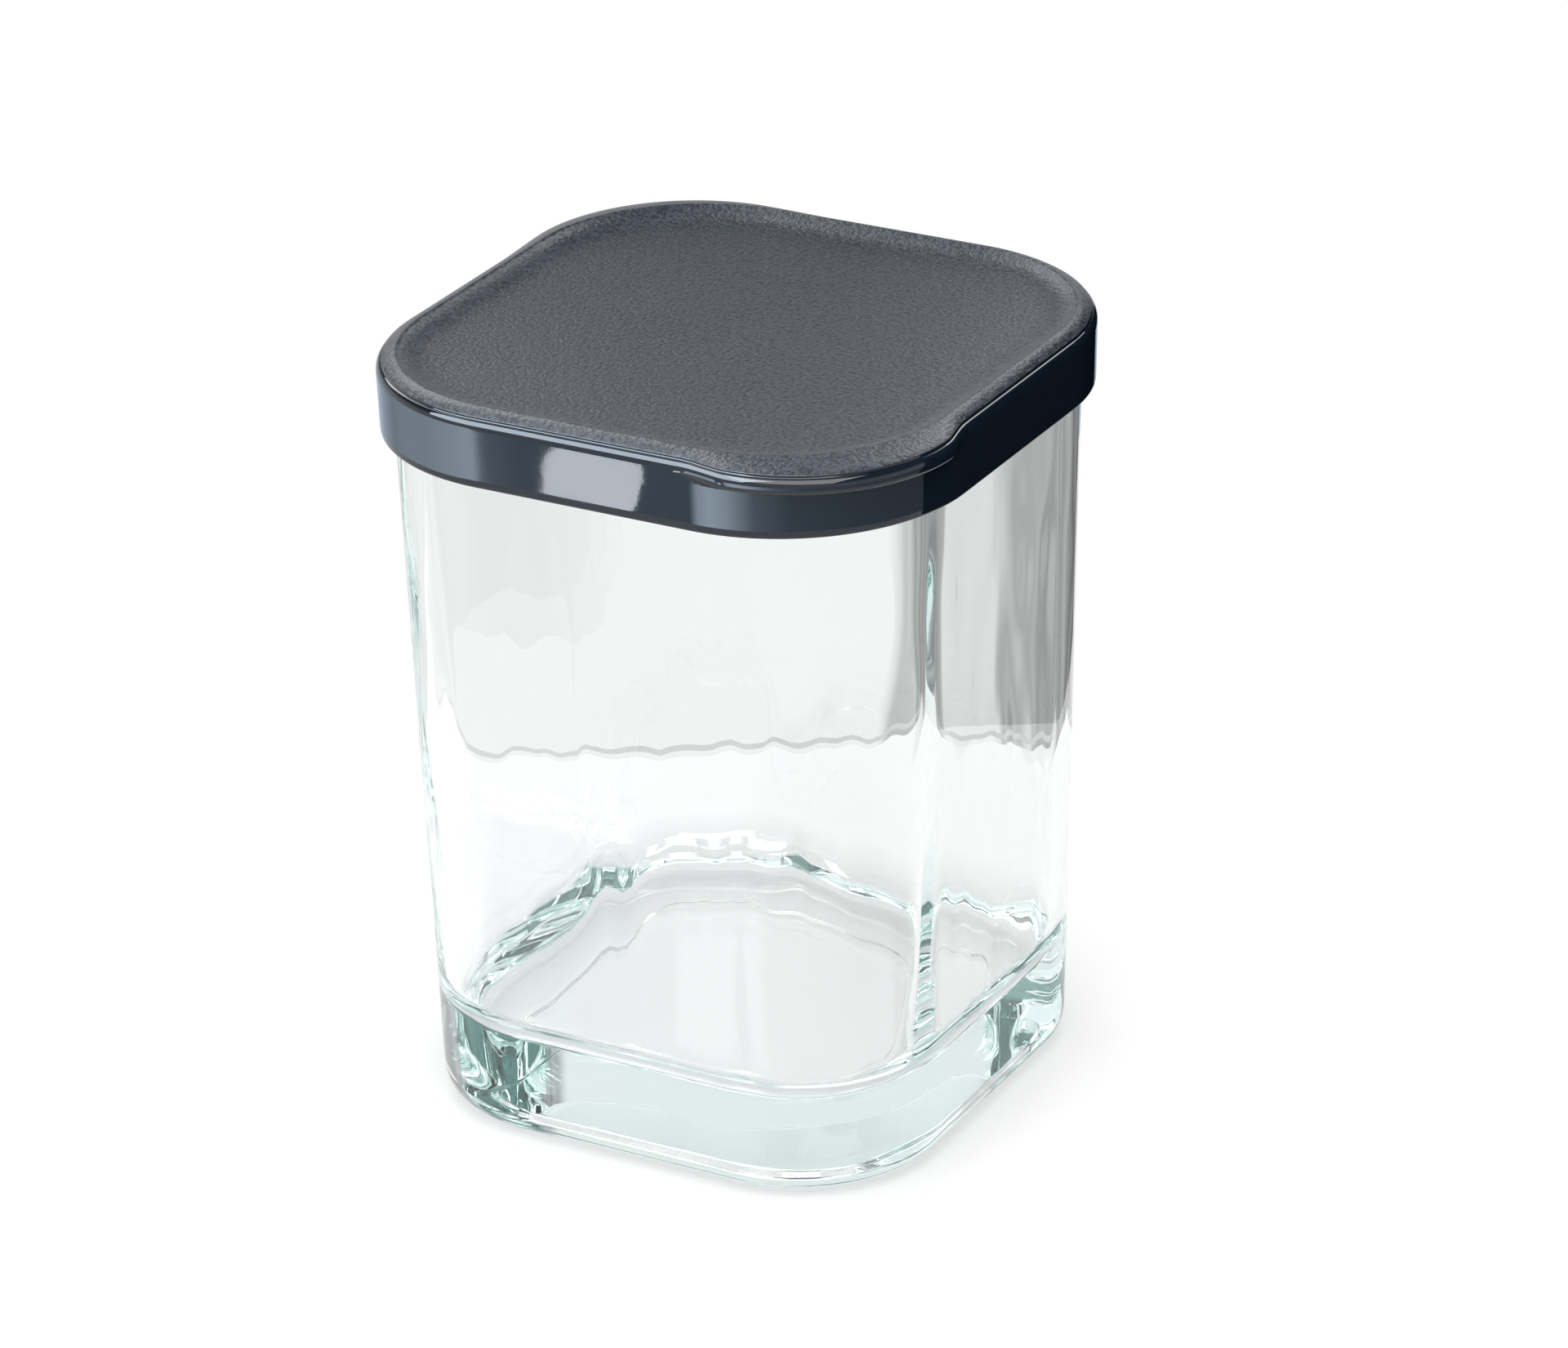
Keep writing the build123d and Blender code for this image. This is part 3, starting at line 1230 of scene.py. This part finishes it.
@dataclass
class Studio:
    """Glowing pale board (painted light and shade), white surround, soft lights and cards.

    Attributes:
        surround: Radiance of the surround as seen directly.
        through_glass: Its radiance as seen through the glass.
        horizon: Its radiance in reflections, low down.
        overhead: Its radiance in reflections, from above.
        ambient: Its radiance as a light on matt surfaces.
        board_back: How far behind the jar the board ends.
        board_tone: Base colour of the board.
        board_size: Its width, depth and thickness.
        board_glow: Radiance that the board gives off by itself, away from the jar; the glow is
            painted light.
        painted_light_under_jar: The same under the middle of the jar, painted light where the lid
            would shade it.
        painted_contact_shade: The same under the jar's foot ring, a painted contact shade.
        painted_far_shadow: How much of the board's glow comes back only well away from the jar, a
            painted shadow.
        board_dimmed: Share of the glow that is left by way of the glass or a reflection.
        sky_fade: Upward parts of a reflection's direction between which it darkens.
        painted_shade_onset: Distances from the centre line between which painted_light_under_jar
            turns to painted_contact_shade.
        painted_contact_shade_end: The same for the end of the painted contact shade.
        painted_far_shadow_fade: The same for painted_far_shadow, the painted shadow round the foot.
    """

    surround: float = 1.02
    through_glass: float = 0.87
    horizon: float = 1.0
    overhead: float = 0.05
    ambient: float = 0.55
    board_back: float = 0.118
    board_tone: float = 0.32
    board_size: Triple = (2.4, 1.6, 0.012)
    board_glow: float = 0.75
    painted_light_under_jar: float = 0.76
    painted_contact_shade: float = 0.58
    painted_far_shadow: float = 0.12
    board_dimmed: float = 0.86
    sky_fade: tuple[float, float] = (0.04, 0.46)
    painted_shade_onset: tuple[float, float] = (0.032, 0.041)
    painted_contact_shade_end: tuple[float, float] = (0.0445, 0.056)
    painted_far_shadow_fade: tuple[float, float] = (0.050, 0.085)

    def build(self, viewpoint: Viewpoint, effects: Effects) -> None:
        """Builds the studio round the object.

        Args:
            viewpoint: The camera, which the board lies square to.
            effects: The shared node groups.
        """
        self._surround()
        self._board(viewpoint, effects)
        azimuth = math.radians(viewpoint.azimuth)
        back = self.board_back + 1.5 * MM
        edge = (-math.sin(azimuth) * back, math.cos(azimuth) * back, 0.0)
        shade = Card("board_edge_shade", edge, (0.0, 0.0, 0.0), width=1.0, height=1 * MM, glow=0.6,
                     in_glass=True)
        for thing in (*SOFTBOXES, SKIRT_REFLECTOR, STREAKED_SCREEN, *CARDS, shade):
            thing.build()
        view = bpy.context.scene.view_settings
        view.view_transform = "Standard"
        view.look = "None"
        cycles = bpy.context.scene.cycles
        cycles.max_bounces, cycles.transmission_bounces, cycles.glossy_bounces = 48, 40, 40

    def _surround(self) -> None:
        """A plain white surround, dimmer where it is only reflected."""
        world = bpy.data.worlds.new("surround")
        bpy.context.scene.world = world
        world.use_nodes = True
        w = Wiring(world.node_tree)
        path = w.add("LightPath")
        way = w.add("SeparateXYZ", Vector=w.add("TexCoord").outputs["Generated"])
        reflected = w.span(way.outputs["Z"], *self.sky_fade, self.horizon, self.overhead)
        glow = self.ambient
        for kind, level_of in (("Is Glossy Ray", reflected),
                               ("Is Transmission Ray", self.through_glass),
                               ("Is Camera Ray", self.surround)):
            choice = w.add("Mix")
            w.feed(choice, 0, path.outputs[kind])
            w.feed(choice, 2, glow)
            w.feed(choice, 3, level_of)
            glow = choice.outputs[0]
        w.show(w.add("Background", Color=(*WHITE, 1.0), Strength=glow), "OutputWorld")

    def _board(self, viewpoint: Viewpoint, effects: Effects) -> None:
        """The pale board the jar stands on, with a small round on its edges.

        Its glow is painted light: brighter under the middle of the jar, with a painted contact
        shade under the foot ring and a painted shadow that fades out round the foot.
        """
        _, deep, thick = self.board_size
        shape = bmesh.new()
        bmesh.ops.create_cube(shape, size=1.0)
        bmesh.ops.scale(shape, vec=self.board_size, verts=shape.verts)
        bmesh.ops.bevel(shape, geom=list(shape.edges), offset=2 * MM, segments=4, affect="EDGES",
                        profile=0.5)
        bmesh.ops.translate(shape, vec=(0, self.board_back - deep / 2, -thick / 2 - 0.05 * MM),
                            verts=shape.verts)
        data = bpy.data.meshes.new("pale_board")
        shape.to_mesh(data)
        shape.free()
        board = in_scene("pale_board", data)
        board.rotation_euler.z = math.radians(viewpoint.azimuth)
        material, w, shader, _ = new_material("board_painted_light_and_shade")
        grain = place(w, effects.grain, Scale=900.0)
        tone = w.span(grain.outputs["Speckle"], 0.0, 1.0, self.board_tone - 0.004, self.board_tone)
        grey = w.add("CombineColor", Red=tone, Green=tone, Blue=tone)
        at = w.add("SeparateXYZ", Vector=w.add("NewGeometry").outputs["Position"])
        fourth = [w.maths("POWER", w.maths("ABSOLUTE", at.outputs[axis]), 4.0) for axis in "XY"]
        out = w.maths("POWER", w.maths("ADD", *fourth), 0.25)
        # Painted light under the middle of the jar, falling to a painted contact shade under the
        # foot ring.
        under = w.span(out, *self.painted_shade_onset, self.painted_light_under_jar, self.painted_contact_shade)
        # Painted shadow round the foot: away from it the glow climbs back in two ramps, near and
        # further out.
        rest = self.board_glow - self.painted_contact_shade - self.painted_far_shadow
        near = w.span(out, *self.painted_contact_shade_end, 0.0, rest)
        beyond = w.maths("ADD", near, w.span(out, *self.painted_far_shadow_fade, 0.0, self.painted_far_shadow))
        seen = w.span(w.add("LightPath").outputs["Is Camera Ray"], 0.0, 1.0, self.board_dimmed)
        glow = w.maths("MULTIPLY", w.maths("ADD", under, beyond), seen)
        w.set(shader, Base_Color=grey.outputs[0], Roughness=0.7, Specular_IOR_Level=0.2,
              Emission_Color=(*WHITE, 1.0), Emission_Strength=glow)
        data.materials.append(material)


def main() -> None:
    """Builds the camera, the canister and the studio, and reports each piece."""
    logging.basicConfig(level=logging.INFO, format="%(name)s: %(message)s")
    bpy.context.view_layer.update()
    viewpoint = Viewpoint()
    viewpoint.build()
    effects = Effects()
    grained, polished, satin, silicone = (finish.build(effects) for finish in (
        GRAINED_TOP, POLISHED_SKIRT, SATIN_INSIDE, SILICONE))
    tray = InnerTray()
    for piece in (Jar().build(effects), LidCover().build((grained, polished, satin)),
                  tray.build(satin), Seal().build(tray, silicone)):
        LOG.info("%s: %d faces, finished as %s", piece.name, len(piece.data.polygons),
                 ", ".join(m.name for m in piece.data.materials))
    Studio().build(viewpoint, effects)


if __name__ == "__main__":
    main()
